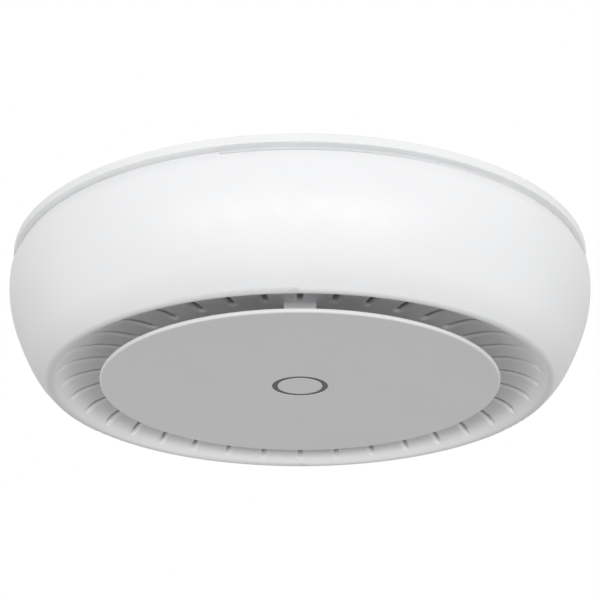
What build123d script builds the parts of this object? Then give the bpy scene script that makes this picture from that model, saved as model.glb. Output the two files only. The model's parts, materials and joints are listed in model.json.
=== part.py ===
from build123d import *
import os
from math import cos, radians, sin

# Round ceiling access point: a vented wireless unit that twists onto a ceiling bracket.
# Millimetres, +Z up. The origin is the centre of the bracket's ceiling face, so the whole
# object hangs below z = 0. The network jacks open towards +Y, and the front edge, with the
# step in the housing's top rim, is at -Y. Angles are measured from +X towards +Y.

os.makedirs("parts", exist_ok=True)

# Ceiling bracket
flange_radius = 94.85
flange_low = -2.6
skirt_low = -3.4
skirt_profile = ((90.2, flange_low), (90.2, skirt_low), (91.7, skirt_low), (92.5, -3.05), (94.3, flange_low))
collar_inner = 59.8
collar_outer = 61.8
collar_low = -9.4
lug_angles = (45, 135, 225, 315)
lug_sweep = 13.0
lug_outer = 65.4
lug_high = -7.6
stop_sweep = 2.0
stop_clearance = 0.4
stop_high = -4.6
cable_opening = (42.0, 32.0)
screw_circle = 52.0
screw_hole = 2.25
box_slot_spacing = 60.0
box_slot_length = 9.0
box_slot_radius = 2.1

# Front housing: outer side, lip, vented recess and flat roof above the face disc
overall_low = -42.85
housing_top = -3.72
shoulder = (93.2, housing_top)
crease = (95.4, -8.5)
roof_low = -35.5
roof_high = -34.0
roof_flat_radius = 56.5
relief_low = -4.62
relief_profile = ((91.5, -2), (91.5, relief_low), (97, relief_low), (97, -2))
relief_start = -104.2
relief_sweep = 76.2
slot_count = 36
slot_inner = 57.8
slot_outer = 77.9
slot_width = 1.6
slot_rounding = 1.2
slot_rib = (56.4, 59.0)
slot_rib_high = -32.4

# Face disc: a shallow dish, higher in the middle than at its edge, and thinner at its edge
disc_radius = 64.9
disc_thickness = 1.65
dish_centre = -40.95
dish_rise = 1.05
dish_back = dish_centre + disc_thickness
back_rise = 1.6
hub_inner = 10.0
post_radius = 55.0
post_angles = (-90, 0, 90, 180)
ring_inner = 7.31
ring_outer = 9.14
ring_back = -39.9

# Base cover: rim plate, bayonet well and cable bay
cover_radius = 89.4
cover_high = -4.0
cover_low = -6.0
well_inner = 66.2
well_outer = 68.2
well_floor_high = -10.4
well_floor_low = -12.2
ledge_inner = 62.7
ledge_high = -5.2
ledge_low = -7.3
bay_half_width = 32.0
bay_front = -8.0
bay_back = 50.0
bay_floor = -25.0
bay_wall = 1.8
bay_skin = 1.6
rim_screw_circle = 80.5

# Boards and electronics
board_radius = 74.0
board_high = -27.6
board_low = -29.2
board_screw_circle = 66.0
spreader_radius = 50.0
spreader_high = -31.4
spreader_low = -33.4
spreader_screws = ((38, -22), (-38, -22), (41, 15), (-41, 15))
chip_height = 1.2

# Network jacks and buttons
jack_places = (-8.7, 8.7)
jack_width = 16.0
jack_length = 21.3
jack_high = -14.1
jack_mouth = -8.3
jack_skin = 0.3
plug_width = 12.0
plug_depth = 14.0
socket_low = -24.8
socket_high = -16.4
button_height = -20.5
switch_face = -15.6
buttons = (
    # name, x, cap radius, y of the cap's face
    ("mode", 25.0, 2.4, -6.6),
    ("reset", -25.0, 1.6, -8.3),
)


def ring(inner, outer, low, high):
    """A plain ring about Z, or a disc where the inner radius is 0."""
    with BuildPart() as made:
        with BuildSketch(Plane.XY.offset(low)):
            Circle(outer)
            if inner > 0:
                Circle(inner, mode=Mode.SUBTRACT)
        extrude(amount=high - low)
    return made.part


def sector(inner, outer, start, sweep, low, high):
    """Part of a ring about Z, from its start angle over a sweep in degrees."""
    with BuildPart() as made:
        with BuildSketch(Plane.XY.offset(low)):
            with BuildLine():
                far = CenterArc((0, 0), outer, start, sweep)
                near = CenterArc((0, 0), inner, start, sweep)
                Line(near @ 0, far @ 0)
                Line(near @ 1, far @ 1)
            make_face()
        extrude(amount=high - low)
    return made.part


def block(x_range, y_range, z_range):
    """A box between two values on each axis."""
    size = [high - low for low, high in (x_range, y_range, z_range)]
    middle = tuple((low + high) / 2 for low, high in (x_range, y_range, z_range))
    with BuildPart() as made:
        with Locations(middle):
            Box(*size)
    return made.part


def posts(places, radius, low, high):
    """Round posts of one radius, standing at a list of (x, y) places."""
    with BuildPart() as made:
        with BuildSketch(Plane.XY.offset(low)):
            with Locations(*places):
                Circle(radius)
        extrude(amount=high - low)
    return made.part


def rod(x, z, radius, start, end):
    """A round rod along Y."""
    with BuildPart() as made:
        with BuildSketch(Plane((x, start, z), x_dir=(1, 0, 0), z_dir=(0, 1, 0))):
            Circle(radius)
        extrude(amount=end - start)
    return made.part


def around(radius, angles):
    """Places on a circle, as (x, y) pairs."""
    return [(radius * cos(radians(a)), radius * sin(radians(a))) for a in angles]


def is_slot_edge(edge):
    """True for an edge around a vent slot, and not for the recess face's own edges."""
    middle = edge.center()
    return slot_inner - 0.5 < Vector(middle.X, middle.Y).length < slot_outer + 0.5


def dish(radius, centre, rise):
    """Height of a dished face at a radius. Its middle is at centre, and its edge is lower by rise."""
    return centre - rise * (radius / disc_radius) ** 2


def save(piece, name):
    piece.part.label = name
    export_step(piece.part, f"parts/{name}.step")


def screws(places, head_radius, head_low, head_high, shank_radius, shank_low):
    """Pan head screws with a cross recess, pointing down."""
    with BuildPart() as made:
        add(posts(places, head_radius, head_low, head_high))
        rims = made.edges().filter_by(GeomType.CIRCLE).group_by(Axis.Z)[-1]
        fillet(rims, (head_high - head_low) * 0.4)
        with BuildSketch(Plane.XY.offset(head_high)):
            with Locations(*places):
                Rectangle(head_radius * 1.1, head_radius * 0.24)
                Rectangle(head_radius * 0.24, head_radius * 1.1)
        extrude(amount=-(head_high - head_low) * 0.6, mode=Mode.SUBTRACT)
        add(posts(places, shank_radius, shank_low, head_low))
    return made


# --- Ceiling bracket -------------------------------------------------------------------
bracket_screws = around(screw_circle, lug_angles)
with BuildPart() as ceiling_bracket:
    add(ring(0, flange_radius, flange_low, 0))
    fillet(ceiling_bracket.edges().group_by(Axis.Z)[0], 0.45)
    fillet(ceiling_bracket.edges().group_by(Axis.Z)[-1], 0.2)
    # Bevelled skirt under the rim, just above the housing's top edge
    with BuildSketch(Plane.XZ):
        with BuildLine():
            Polyline(*skirt_profile, close=True)
        make_face()
    revolve(axis=Axis.Z)
    # Ribbed pocket in the ceiling side of the rim
    with BuildSketch():
        Circle(89.5)
        Circle(66.5, mode=Mode.SUBTRACT)
        with PolarLocations(78, 24, start_angle=7.5):
            Rectangle(30, 1.4, mode=Mode.SUBTRACT)
    extrude(amount=-1.1, mode=Mode.SUBTRACT)
    add(ring(collar_inner, collar_outer, collar_low, flange_low))
    for angle in lug_angles:
        add(sector(collar_outer - 0.5, lug_outer, angle - lug_sweep / 2, lug_sweep, collar_low, lug_high))
        stop_start = angle + lug_sweep / 2 + stop_clearance
        add(sector(collar_outer - 0.5, lug_outer, stop_start, stop_sweep, collar_low, stop_high))
    with BuildSketch():
        RectangleRounded(*cable_opening, 7)
        with Locations((-box_slot_spacing / 2, 0), (box_slot_spacing / 2, 0)):
            SlotOverall(box_slot_length, 2 * box_slot_radius)
        with Locations(*bracket_screws):
            Circle(screw_hole)
    extrude(amount=flange_low, mode=Mode.SUBTRACT)
    # Countersinks for flat head screws, on the room side
    with Locations(*[Location((x, y, flange_low + 0.6)) for x, y in bracket_screws]):
        Cone(screw_hole + 1.5, screw_hole + 0.3, 1.2, mode=Mode.SUBTRACT)
save(ceiling_bracket, "ceiling_bracket")

# --- Front housing ---------------------------------------------------------------------
boss_places = around(rim_screw_circle, lug_angles)
standoff_places = around(board_screw_circle, lug_angles)
disc_screw_places = around(post_radius - 1, post_angles)
with BuildPart() as relief:
    with BuildSketch(Plane.XZ):
        with BuildLine():
            Polyline(*relief_profile, close=True)
        make_face()
    revolve(axis=Axis.Z, revolution_arc=relief_sweep)
with BuildPart() as front_housing:
    with BuildSketch(Plane.XZ):
        with BuildLine():
            band = Line(shoulder, crease)
            side = Spline(
                band @ 1, (94.7, -18.2), (90.45, -30.1), (84.45, -40.0), (82.5, -42.0),
                tangents=[(0.06, -1), (-1, -1)],
            )
            lip = ThreePointArc(side @ 1, (80.6, overall_low), (79.1, -42.15))
            recess = Spline(
                lip @ 1, (74.9, -38.3), (70.1, -36.5), (roof_flat_radius, roof_low),
                tangents=[(-1, 0.95), (-1, 0)],
            )
            ceiling = Polyline(recess @ 1, (0, roof_low), (0, roof_high), (roof_flat_radius, roof_high))
            recess_inside = Spline(
                ceiling @ 1, (70.3, -34.6), (75.7, -35.5), (79.3, -37.6),
                tangents=[(1, 0), (1, -0.7)],
            )
            trough = ThreePointArc(recess_inside @ 1, (80.9, -38.1), (82.5, -37.4))
            side_inside = Spline(
                trough @ 1, (88.5, -29.1), (92.55, -17.7), (93.0, -9.2),
                tangents=[(1, 1.05), (0, 1)],
            )
            Polyline(side_inside @ 1, (89.4, housing_top), shoulder)
        make_face()
    revolve(axis=Axis.Z)
    # Screw bosses at the wall and board standoffs, each between two vent slots
    add(posts(boss_places, 3.4, -39.2, -8.0))
    add(posts(boss_places, 1.5, -41.0, -39.2))
    add(posts(standoff_places, 3.0, -35.2, board_low))
    add(posts(boss_places, 1.42, -20.0, -8.0), mode=Mode.SUBTRACT)
    add(posts(standoff_places, 1.25, -34.2, board_low), mode=Mode.SUBTRACT)
    add(posts(disc_screw_places, 1.3, roof_low, roof_high), mode=Mode.SUBTRACT)
    add(ring(0, 9.4, roof_low, roof_high), mode=Mode.SUBTRACT)
    # Hoop rib inside, where the vent slots end
    add(ring(*slot_rib, roof_high - 0.5, slot_rib_high))
    # Vent slots through the recess
    with BuildSketch(Plane.XY.offset(overall_low - 1)):
        with PolarLocations((slot_inner + slot_outer) / 2, slot_count, start_angle=-90):
            SlotOverall(slot_outer - slot_inner, slot_width)
    extrude(amount=slot_rib_high + 1 - (overall_low - 1), mode=Mode.SUBTRACT)
    recess_face = front_housing.faces().filter_by(GeomType.REVOLUTION).sort_by(Axis.Z)[0]
    fillet(recess_face.edges().filter_by(is_slot_edge), slot_rounding)
    # Step in the top rim: its outer edge is lower along part of the front
    add(relief.part.rotate(Axis.Z, relief_start), mode=Mode.SUBTRACT)
save(front_housing, "front_housing")

# --- Face disc -------------------------------------------------------------------------
with BuildPart() as face_disc:
    with BuildSketch(Plane.XZ):
        with BuildLine():
            middle = Line((0, dish_centre), (ring_inner, dish_centre))
            face = ThreePointArc(
                middle @ 1,
                (disc_radius / 2, dish(disc_radius / 2, dish_centre, dish_rise)),
                (disc_radius, dish(disc_radius, dish_centre, dish_rise)),
            )
            rim = Line(face @ 1, (disc_radius, dish(disc_radius, dish_back, back_rise)))
            back = ThreePointArc(
                rim @ 1,
                (disc_radius / 2, dish(disc_radius / 2, dish_back, back_rise)),
                (hub_inner, dish_back),
            )
            Polyline(back @ 1, (0, dish_back), (0, dish_centre))
        make_face()
    revolve(axis=Axis.Z)
    fillet(face_disc.edges().group_by(Axis.Z)[0], 0.65)
    # Hub around the light guide, and four flat posts that carry the disc
    add(ring(hub_inner, hub_inner + 2, dish_back - 0.5, roof_low))
    for angle, (x, y) in zip(post_angles, disc_screw_places):
        with Locations(Location((0, 0, 0), (0, 0, angle))):
            with Locations((post_radius, 0, (roof_low - 40.6) / 2)):
                Box(3.0, 9.6, roof_low + 40.6)
        add(posts([(x, y)], 2.3, -40.6, roof_low))
    add(posts(disc_screw_places, 1.15, -39.2, roof_low), mode=Mode.SUBTRACT)
    # Channel for the status ring, with four windows for the light guide's feet
    add(ring(ring_inner, ring_outer, -42, ring_back), mode=Mode.SUBTRACT)
    for angle in lug_angles:
        add(sector(7.5, 8.95, angle - 25, 50, ring_back, -39), mode=Mode.SUBTRACT)
save(face_disc, "face_disc")

# --- Status light ----------------------------------------------------------------------
with BuildPart() as light_ring:
    add(ring(ring_inner + 0.05, ring_outer - 0.05, dish_centre + 0.08, ring_back))
    fillet(light_ring.edges().group_by(Axis.Z)[0], 0.12)
save(light_ring, "light_ring")

with BuildPart() as light_guide:
    add(ring(7.65, 8.8, -39.2, board_low - 1.2))
    for angle in lug_angles:
        add(sector(7.65, 8.8, angle - 22, 44, ring_back, -39.2))
save(light_guide, "light_guide")

# --- Base cover ------------------------------------------------------------------------
bay_inside = ((-bay_half_width, bay_half_width), (bay_front, bay_back))
bay_outside = (
    (-bay_half_width - bay_wall, bay_half_width + bay_wall),
    (bay_front - bay_wall, bay_back + bay_wall),
)
with BuildPart() as bay:
    add(block(*bay_inside, (bay_floor, 0)))
    fillet(bay.edges().filter_by(Axis.Z), 2.0)

with BuildPart() as base_cover:
    add(ring(well_inner, cover_radius, cover_low, cover_high))
    add(ring(well_inner, well_outer, well_floor_low, cover_high))
    add(ring(0, well_outer, well_floor_low, well_floor_high))
    add(block(*bay_outside, (bay_floor - bay_skin, well_floor_high)))
    fillet(base_cover.edges().filter_by(Axis.Z).filter_by(lambda e: e.center().Z < well_floor_low), 3.8)
    add(bay.part, mode=Mode.SUBTRACT)
    # Bayonet ledges that hang on the bracket's lugs
    for angle in lug_angles:
        add(sector(ledge_inner, well_inner + 0.5, angle - lug_sweep / 2, lug_sweep, ledge_low, ledge_high))
    # Stiffening ribs under the rim plate, clear of the screw pads
    for angle in range(0, 360, 30):
        add(sector(well_outer - 0.5, 84, angle - 0.6, 1.2, cover_low - 3, cover_low))
    # Windows for the jacks and the two buttons
    for x in jack_places:
        half = jack_width / 2 + 0.2
        window = ((x - half, x + half), (bay_outside[1][0] - 1, jack_mouth + 0.2))
        add(block(*window, (board_high, jack_high + 0.2)), mode=Mode.SUBTRACT)
    for name, x, cap_radius, cap_face in buttons:
        add(rod(x, button_height, cap_radius + 0.25, bay_front - bay_wall - 1, bay_front + 1), mode=Mode.SUBTRACT)
    # Counterbored pads for the rim screws
    add(posts(boss_places, 4.2, -8.0, cover_high))
    add(posts(boss_places, 3.0, cover_low, cover_high), mode=Mode.SUBTRACT)
    add(posts(boss_places, 1.6, -8.0, cover_low), mode=Mode.SUBTRACT)
save(base_cover, "base_cover")

with BuildPart() as rating_plate:
    add(block((-22, 22), (-46, -26), (well_floor_high, well_floor_high + 0.15)))
    fillet(rating_plate.edges().filter_by(Axis.Z), 2)
save(rating_plate, "rating_plate")

# --- Main board and its parts ----------------------------------------------------------
with BuildPart() as main_board:
    add(ring(0, board_radius, board_low, board_high))
    add(posts(standoff_places, 1.4, board_low, board_high), mode=Mode.SUBTRACT)
    add(posts(spreader_screws, 1.3, board_low, board_high), mode=Mode.SUBTRACT)
save(main_board, "main_board")

# Chips on the room side of the board: name, places, width and length
low_chips = (
    ("processor_chip", [(0, -26)], 14, 14),
    ("memory_chips", [(13.5, -20), (13.5, -32)], 8, 10),
    ("flash_chip", [(-14, -26)], 6, 8),
    ("switch_chip", [(0, 24)], 12, 12),
    ("radio_chips", [(-28, 4), (28, 4)], 9, 9),
)
for name, places, width, length in low_chips:
    with BuildPart() as chips:
        with Locations(*[Location((x, y, board_low - chip_height / 2)) for x, y in places]):
            Box(width, length, chip_height)
        chamfer(chips.edges().group_by(Axis.Z)[0], 0.25)
    save(chips, name)

with BuildPart() as thermal_pads:
    pad_centre = board_low - chip_height - 0.5
    with Locations((0, -26, pad_centre), (0, 24, pad_centre)):
        Box(11, 11, 1.0)
    with Locations((-28, 4, pad_centre), (28, 4, pad_centre)):
        Box(8, 8, 1.0)
save(thermal_pads, "thermal_pads")

with BuildPart() as heat_spreader:
    add(ring(11, spreader_radius, spreader_low, spreader_high))
    # Pressed grooves that let the plate breathe under the board
    for radius in (24, 36):
        add(ring(radius, radius + 3, spreader_low, spreader_low + 0.6), mode=Mode.SUBTRACT)
    add(posts(spreader_screws, 2.6, spreader_high, board_low))
    add(posts(spreader_screws, 1.05, spreader_low, board_low), mode=Mode.SUBTRACT)
save(heat_spreader, "heat_spreader")

with BuildPart() as status_leds:
    for angle in lug_angles:
        with Locations(Location((0, 0, 0), (0, 0, angle))):
            with Locations((8.2, 0, board_low - 0.4)):
                Box(1.6, 3.2, 0.8)
save(status_leds, "status_leds")

with BuildPart() as crystal_can:
    with Locations((-14, -36, board_low - 0.55)):
        Box(5, 3.2, 1.1)
    fillet(crystal_can.edges().filter_by(Axis.Z), 0.6)
save(crystal_can, "crystal_can")

with BuildPart() as shield_cans:
    for x in (-52, 52):
        add(block((x - 9, x + 9), (-24, -4), (board_high, board_high + 3.4)))
        add(block((x - 8.7, x + 8.7), (-23.7, -4.3), (board_high, board_high + 3.1)), mode=Mode.SUBTRACT)
    # Perforations that let the cans be reflowed
    with BuildSketch(Plane.XY.offset(board_high + 3.4)):
        for x in (-52, 52):
            with Locations((x, -14)):
                with GridLocations(4, 4, 4, 4):
                    Circle(0.6)
    extrude(amount=-0.4, mode=Mode.SUBTRACT)
save(shield_cans, "shield_cans")

with BuildPart() as rf_amplifiers:
    with Locations(*[Location((x, y, board_high + 0.5)) for x in (-52, 52) for y in (-19, -9)]):
        Box(5, 4, 1.0)
save(rf_amplifiers, "rf_amplifiers")

with BuildPart() as ethernet_transformers:
    for x in (-10.5, 10.5):
        add(block((x - 8.5, x + 8.5), (-42, -34), (board_high, board_high + 5.5)))
    chamfer(ethernet_transformers.edges().group_by(Axis.Z)[-1], 0.4)
save(ethernet_transformers, "ethernet_transformers")

with BuildPart() as poe_transformer:
    add(block((-39, -23), (-53, -39), (board_high, board_high + 10.5)))
    # Winding gap between the core's outer legs
    for y_range in ((-54, -51), (-41, -38)):
        add(block((-37, -25), y_range, (board_high + 2, board_high + 8.5)), mode=Mode.SUBTRACT)
save(poe_transformer, "poe_transformer")

with BuildPart() as power_capacitors:
    add(posts([(-12, -52), (-2, -54), (8, -54)], 4.0, board_high, board_high + 12))
    fillet(power_capacitors.edges().group_by(Axis.Z)[-1], 0.5)
save(power_capacitors, "power_capacitors")

with BuildPart() as power_inductors:
    for x, y in ((22, -50), (33, -44)):
        add(block((x - 4, x + 4), (y - 4, y + 4), (board_high, board_high + 4.2)))
    fillet(power_inductors.edges().filter_by(Axis.Z), 1.2)
save(power_inductors, "power_inductors")

# --- Antennas --------------------------------------------------------------------------
# Each is a bent sheet metal inverted F: name, angle, length and height above the board
antennas = (
    ("antenna_2ghz_left", 155, 28.0, 11.0),
    ("antenna_2ghz_right", 25, 28.0, 11.0),
    ("antenna_5ghz_left", 115, 16.0, 8.0),
    ("antenna_5ghz_right", 65, 16.0, 8.0),
)
sheet = 0.4
antenna_radius = 67.0
for name, angle, length, height in antennas:
    with BuildPart() as antenna:
        with Locations(Location((0, 0, board_high), (0, 0, angle))):
            with Locations((antenna_radius, 0, height - 2.5)):
                Box(sheet, length, 5.0)
            for leg in (-length / 2 + 1, -length / 2 + 6):
                with Locations((antenna_radius, leg, (height - 4) / 2)):
                    Box(sheet, 2.0, height - 4)
            with Locations((antenna_radius - 2.5 + sheet / 2, 0, height - sheet / 2)):
                Box(5.0, length, sheet)
    save(antenna, name)

# --- Network jacks ---------------------------------------------------------------------
jack_back = jack_mouth - jack_length
for number, x in enumerate(jack_places, 1):
    half = jack_width / 2
    with BuildPart() as jack_shield:
        add(block((x - half, x + half), (jack_back, jack_mouth), (board_high, jack_high)))
        inside = (x - half + jack_skin, x + half - jack_skin)
        tall = (board_high + jack_skin, jack_high - jack_skin)
        add(block(inside, (jack_back + jack_skin, jack_mouth), tall), mode=Mode.SUBTRACT)
    save(jack_shield, f"jack_shield_{number}")
    with BuildPart() as jack_body:
        inset = jack_skin + 0.05
        body_x = (x - half + inset, x + half - inset)
        body_z = (board_high + inset, jack_high - inset)
        add(block(body_x, (jack_back + inset, jack_mouth - 0.1), body_z))
        plug_y = (jack_mouth - plug_depth, jack_mouth)
        add(block((x - plug_width / 2, x + plug_width / 2), plug_y, (socket_low, socket_high)), mode=Mode.SUBTRACT)
        add(block((x - 3.1, x + 3.1), plug_y, (socket_high, socket_high + 1.5)), mode=Mode.SUBTRACT)
    save(jack_body, f"ethernet_jack_{number}")

# Eight sprung contacts in each jack, rising from the socket's floor towards its back
with BuildPart() as jack_contacts:
    for x in jack_places:
        for index in range(8):
            wire_x = x + (index - 3.5) * 1.016
            with BuildSketch(Plane((wire_x - 0.2, 0, 0), x_dir=(0, 1, 0), z_dir=(1, 0, 0))):
                Polygon(
                    (-11.0, socket_low), (-11.5, socket_low), (-20.5, socket_low + 2.3), (-20.5, socket_low + 2.6),
                    align=None,
                )
            extrude(amount=0.4)
save(jack_contacts, "jack_contacts")

# --- Buttons and their switches --------------------------------------------------------
for name, x, cap_radius, cap_face in buttons:
    with BuildPart() as switch:
        add(block((x - 3, x + 3), (switch_face - 3.6, switch_face), (board_high, button_height + 3.2)))
        add(rod(x, button_height, 1.0, switch_face, switch_face + 0.85))
    save(switch, f"{name}_switch")
    with BuildPart() as button:
        flange_back = bay_front - bay_wall - 1.3
        add(rod(x, button_height, 1.2, switch_face + 1.4, flange_back))
        add(rod(x, button_height, cap_radius + 0.9, flange_back, flange_back + 1.0))
        add(rod(x, button_height, cap_radius, flange_back + 1.0, cap_face))
        fillet(button.edges().group_by(Axis.Y)[-1], 0.3)
    save(button, f"{name}_button")

# --- Fasteners -------------------------------------------------------------------------
save(screws(boss_places, 2.75, cover_low, cover_low + 1.8, 1.38, -18.0), "rim_screws")
save(screws(standoff_places, 2.4, board_high, board_high + 1.7, 1.2, -33.5), "board_screws")
save(screws(spreader_screws, 2.0, board_high, board_high + 1.5, 1.0, -32.5), "spreader_screws")
save(screws(disc_screw_places, 2.1, roof_high, roof_high + 1.5, 1.1, -38.6), "disc_screws")
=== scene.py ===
import json
import math

import bpy
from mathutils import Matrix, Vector


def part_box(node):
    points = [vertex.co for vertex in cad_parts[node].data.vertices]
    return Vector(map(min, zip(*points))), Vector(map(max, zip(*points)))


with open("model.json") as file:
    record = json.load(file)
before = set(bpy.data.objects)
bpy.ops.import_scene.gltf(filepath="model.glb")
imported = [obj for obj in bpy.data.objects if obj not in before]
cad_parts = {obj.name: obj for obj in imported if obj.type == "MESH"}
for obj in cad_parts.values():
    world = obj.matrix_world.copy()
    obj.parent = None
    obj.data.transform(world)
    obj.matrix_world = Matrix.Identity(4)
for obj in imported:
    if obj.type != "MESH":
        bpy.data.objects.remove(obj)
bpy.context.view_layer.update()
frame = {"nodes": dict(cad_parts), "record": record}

# Ceiling access point, seen from in front and below. Metres, +Z up, the ceiling face at z = 0.

# Camera: its distance from the face disc's middle, the angle it is below it, and its upward tilt
camera_distance = 0.5176
camera_below = math.radians(20.056)
camera_tilt = math.radians(23.275)
camera_lens = 95.2
camera_clip_start = 0.01
sensor_width = 36.0

# Textures, in features per metre: slow colour drift and uneven gloss. Each finish has its own grain.
drift_scale = 35.0
gloss_scale = 160.0
gloss_detail = 4.0
grain_detail = 2.0
grain_roughness = 0.6
# Noise mostly lies between these two values
noise_range = (0.3, 0.7)
# Stretches a grain along Y, as brushing does
brushed = (1, 0.04, 1)

# Soft fill as smooth lobes of light: the direction each comes from, how narrow it is, its strength
lobes = (
    ((0, 0, 1), 2, 1.22),
    ((0, 0, -1), 2, 0.22),
    ((0, 1, 0), 2, 0.6),
    ((-1, 0, 0), 2, 0.37),
    ((1, 0, 0), 2, 0.48),
    ((-1, 0, -0.268), 16, 1.34),
    ((1, 0, -0.268), 16, 1.34),
)
# What the camera itself sees behind the object
backdrop = 1.0
# Key light: a long low softbox in front of the object and a little below it
key_place = (0, -1.5, -0.33)
key_target = (0, 0, -0.03)
key_width = 3.0
key_height = 0.42
key_power = 25.0

floor_height = -1.3
floor_size = 60.0


# --- Materials --------------------------------------------------------------------------

def noise(tree, scale, detail=3.0, roughness=0.5, stretch=None):
    """Noise in the object's own coordinates, in features per metre."""
    place = tree.nodes.new("ShaderNodeTexCoord")
    texture = tree.nodes.new("ShaderNodeTexNoise")
    texture.inputs["Scale"].default_value = scale
    texture.inputs["Detail"].default_value = detail
    texture.inputs["Roughness"].default_value = roughness
    if stretch:
        mapping = tree.nodes.new("ShaderNodeMapping")
        mapping.inputs["Scale"].default_value = stretch
        tree.links.new(place.outputs["Object"], mapping.inputs["Vector"])
        tree.links.new(mapping.outputs["Vector"], texture.inputs["Vector"])
    else:
        tree.links.new(place.outputs["Object"], texture.inputs["Vector"])
    return texture.outputs["Fac"]


def ramp(tree, value, low, high):
    """Maps noise onto a range of values."""
    node = tree.nodes.new("ShaderNodeMapRange")
    node.inputs["From Min"].default_value, node.inputs["From Max"].default_value = noise_range
    node.inputs["To Min"].default_value = low
    node.inputs["To Max"].default_value = high
    tree.links.new(value, node.inputs["Value"])
    return node.outputs["Result"]


def tint(tree, value, dark, light):
    """Mixes two near colours by noise."""
    node = tree.nodes.new("ShaderNodeMix")
    node.data_type = "RGBA"
    node.inputs["A"].default_value = (*dark, 1)
    node.inputs["B"].default_value = (*light, 1)
    tree.links.new(value, node.inputs["Factor"])
    return node.outputs["Result"]


def bump(tree, shader, height, distance):
    """Raises the surface by height, up to distance in metres."""
    node = tree.nodes.new("ShaderNodeBump")
    node.inputs["Distance"].default_value = distance
    node.inputs["Strength"].default_value = 1.0
    tree.links.new(height, node.inputs["Height"])
    tree.links.new(node.outputs["Normal"], shader.inputs["Normal"])


def surface(name, colour, roughness, grain, spread, gloss_spread=0.06, stretch=None, metallic=0.0):
    """A moulded, pressed or plated surface: colour drift, uneven gloss and a fine grain.

    grain is the grain's scale in features per metre and its depth in metres.
    """
    material = bpy.data.materials.new(name)
    material.use_nodes = True
    tree = material.node_tree
    shader = tree.nodes["Principled BSDF"]
    shader.inputs["Metallic"].default_value = metallic
    drift = ramp(tree, noise(tree, drift_scale), 0.0, 1.0)
    dark = tuple(max(0.0, c * (1 - spread)) for c in colour)
    light = tuple(min(1.0, c * (1 + spread)) for c in colour)
    tree.links.new(tint(tree, drift, dark, light), shader.inputs["Base Color"])
    unevenness = noise(tree, gloss_scale, gloss_detail)
    gloss = ramp(tree, unevenness, roughness - gloss_spread, roughness + gloss_spread)
    tree.links.new(gloss, shader.inputs["Roughness"])
    grain_scale, grain_depth = grain
    height = noise(tree, grain_scale, grain_detail, grain_roughness, stretch)
    bump(tree, shader, height, grain_depth)
    return material


# Colour, roughness, grain, colour spread and, where it isn't the usual one, gloss spread
nonmetals = {
    "bracket_plastic": ((0.875, 0.88, 0.885), 0.5, (2600, 3e-5), 0.012),
    "housing_plastic": ((0.885, 0.89, 0.9), 0.42, (3000, 1.5e-5), 0.008),
    "disc_plastic": ((0.88, 0.88, 0.882), 0.55, (2600, 3e-5), 0.01),
    "smoked_lens": ((0.06, 0.06, 0.062), 0.22, (2000, 1e-5), 0.05),
    "clear_guide": ((0.8, 0.82, 0.84), 0.12, (1500, 1e-5), 0.03, 0.03),
    "base_plastic": ((0.84, 0.845, 0.85), 0.55, (2200, 5e-5), 0.015),
    "label_film": ((0.72, 0.73, 0.74), 0.35, (1500, 1e-5), 0.03),
    "circuit_board": ((0.012, 0.09, 0.04), 0.3, (900, 2e-5), 0.2),
    "chip_resin": ((0.03, 0.03, 0.033), 0.5, (5000, 3e-5), 0.1),
    "thermal_silicone": ((0.35, 0.45, 0.55), 0.7, (3000, 5e-5), 0.06),
    "led_resin": ((0.88, 0.85, 0.68), 0.2, (1500, 1e-5), 0.05),
    "component_black": ((0.035, 0.035, 0.036), 0.5, (2600, 4e-5), 0.1),
    "ferrite": ((0.06, 0.06, 0.062), 0.65, (2600, 6e-5), 0.15),
    "button_plastic": ((0.3, 0.3, 0.31), 0.45, (2400, 3e-5), 0.04),
}
# The same with gloss spread always given and, last, the stretch of a brushed grain
metals = {
    "spreader_aluminium": ((0.6, 0.6, 0.61), 0.35, (1800, 2e-5), 0.04, 0.08, brushed),
    "tinned_steel": ((0.72, 0.72, 0.71), 0.28, (1500, 1e-5), 0.05, 0.1),
    "capacitor_sleeve": ((0.6, 0.61, 0.64), 0.25, (1500, 1e-5), 0.04, 0.08),
    "antenna_metal": ((0.7, 0.69, 0.66), 0.32, (1500, 2e-5), 0.05, 0.1),
    "gold_contact": ((0.83, 0.6, 0.22), 0.25, (1500, 1e-5), 0.04, 0.05),
    "zinc_screw": ((0.62, 0.63, 0.66), 0.3, (2000, 2e-5), 0.06, 0.1),
}
materials = {name: surface(name, *finish) for name, finish in nonmetals.items()}
for name, finish in metals.items():
    materials[name] = surface(name, *finish, metallic=1.0)

slot_of = {part["node"]: part["material_slot"] for part in frame["record"]["subparts"]}
for node, piece in frame["nodes"].items():
    piece.data.materials.clear()
    piece.data.materials.append(materials[slot_of[node]])


# --- Camera -----------------------------------------------------------------------------

disc_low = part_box("face_disc")[0].z
camera_data = bpy.data.cameras.new("camera")
camera_data.lens = camera_lens
camera_data.sensor_width = sensor_width
camera_data.clip_start = camera_clip_start
camera = bpy.data.objects.new("camera", camera_data)
camera.location = (
    0,
    -camera_distance * math.cos(camera_below),
    disc_low - camera_distance * math.sin(camera_below),
)
camera.rotation_euler = (math.pi / 2 + camera_tilt, 0, 0)
bpy.context.scene.collection.objects.link(camera)
bpy.context.scene.camera = camera


# --- Studio light -----------------------------------------------------------------------

def math_node(tree, operation, first, second):
    """A maths node. Each operand is a number or another node's output."""
    node = tree.nodes.new("ShaderNodeMath")
    node.operation = operation
    for socket, value in zip(node.inputs, (first, second)):
        if isinstance(value, (int, float)):
            socket.default_value = value
        else:
            tree.links.new(value, socket)
    return node.outputs["Value"]


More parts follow.
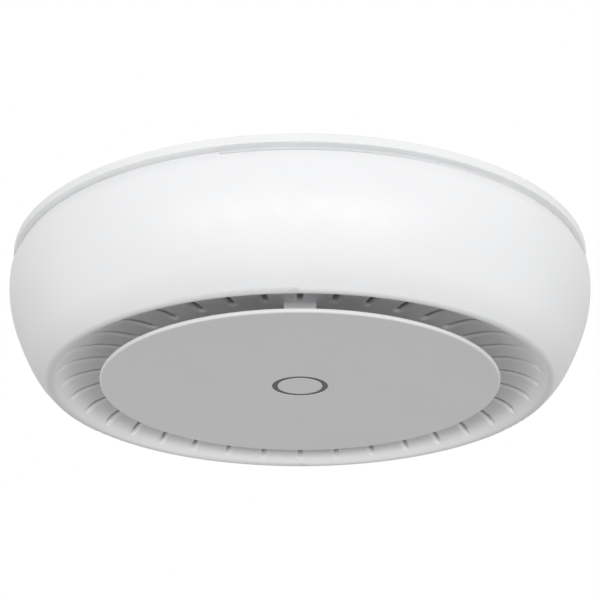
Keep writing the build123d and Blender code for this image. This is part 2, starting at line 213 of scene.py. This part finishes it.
def fill_light(tree):
    """The sum of all the lobes, by direction."""
    direction = tree.nodes.new("ShaderNodeTexCoord").outputs["Generated"]
    light = 0.0
    for axis, narrowness, strength in lobes:
        facing = tree.nodes.new("ShaderNodeVectorMath")
        facing.operation = "DOT_PRODUCT"
        facing.inputs[1].default_value = Vector(axis).normalized()
        tree.links.new(direction, facing.inputs[0])
        towards = math_node(tree, "MAXIMUM", facing.outputs["Value"], 0.0)
        narrowed = math_node(tree, "POWER", towards, float(narrowness))
        light = math_node(tree, "ADD", math_node(tree, "MULTIPLY", narrowed, strength), light)
    return light


world = bpy.data.worlds.new("studio")
bpy.context.scene.world = world
world.use_nodes = True
tree = world.node_tree
background = tree.nodes["Background"]
background.inputs["Color"].default_value = (1, 1, 1, 1)
seen = tree.nodes.new("ShaderNodeLightPath").outputs["Is Camera Ray"]
strength_mix = tree.nodes.new("ShaderNodeMix")
strength_mix.inputs["B"].default_value = backdrop
tree.links.new(seen, strength_mix.inputs["Factor"])
tree.links.new(fill_light(tree), strength_mix.inputs["A"])
tree.links.new(strength_mix.outputs["Result"], background.inputs["Strength"])

key_data = bpy.data.lights.new("key_light", "AREA")
key_data.shape = "RECTANGLE"
key_data.size = key_width
key_data.size_y = key_height
key_data.energy = key_power
key = bpy.data.objects.new("key_light", key_data)
key.location = key_place
key.rotation_euler = (Vector(key_target) - Vector(key_place)).to_track_quat("-Z", "Y").to_euler()
key.visible_camera = False
bpy.context.scene.collection.objects.link(key)


# --- Floor ------------------------------------------------------------------------------

# Pale, far below, and it takes no part in the lighting
half = floor_size / 2
outline = ((-half, -half), (half, -half), (half, half), (-half, half))
floor_corners = [(x, y, floor_height) for x, y in outline]
floor_mesh = bpy.data.meshes.new("floor")
floor_mesh.from_pydata(floor_corners, [], [(0, 1, 2, 3)])
floor_mesh.materials.append(surface("floor_paint", (0.85, 0.85, 0.85), 0.8, (40, 1e-4), 0.01))
floor = bpy.data.objects.new("floor", floor_mesh)
bpy.context.scene.collection.objects.link(floor)
floor.visible_diffuse = False
floor.visible_glossy = False
floor.visible_shadow = False

bpy.context.scene.view_settings.view_transform = "Standard"
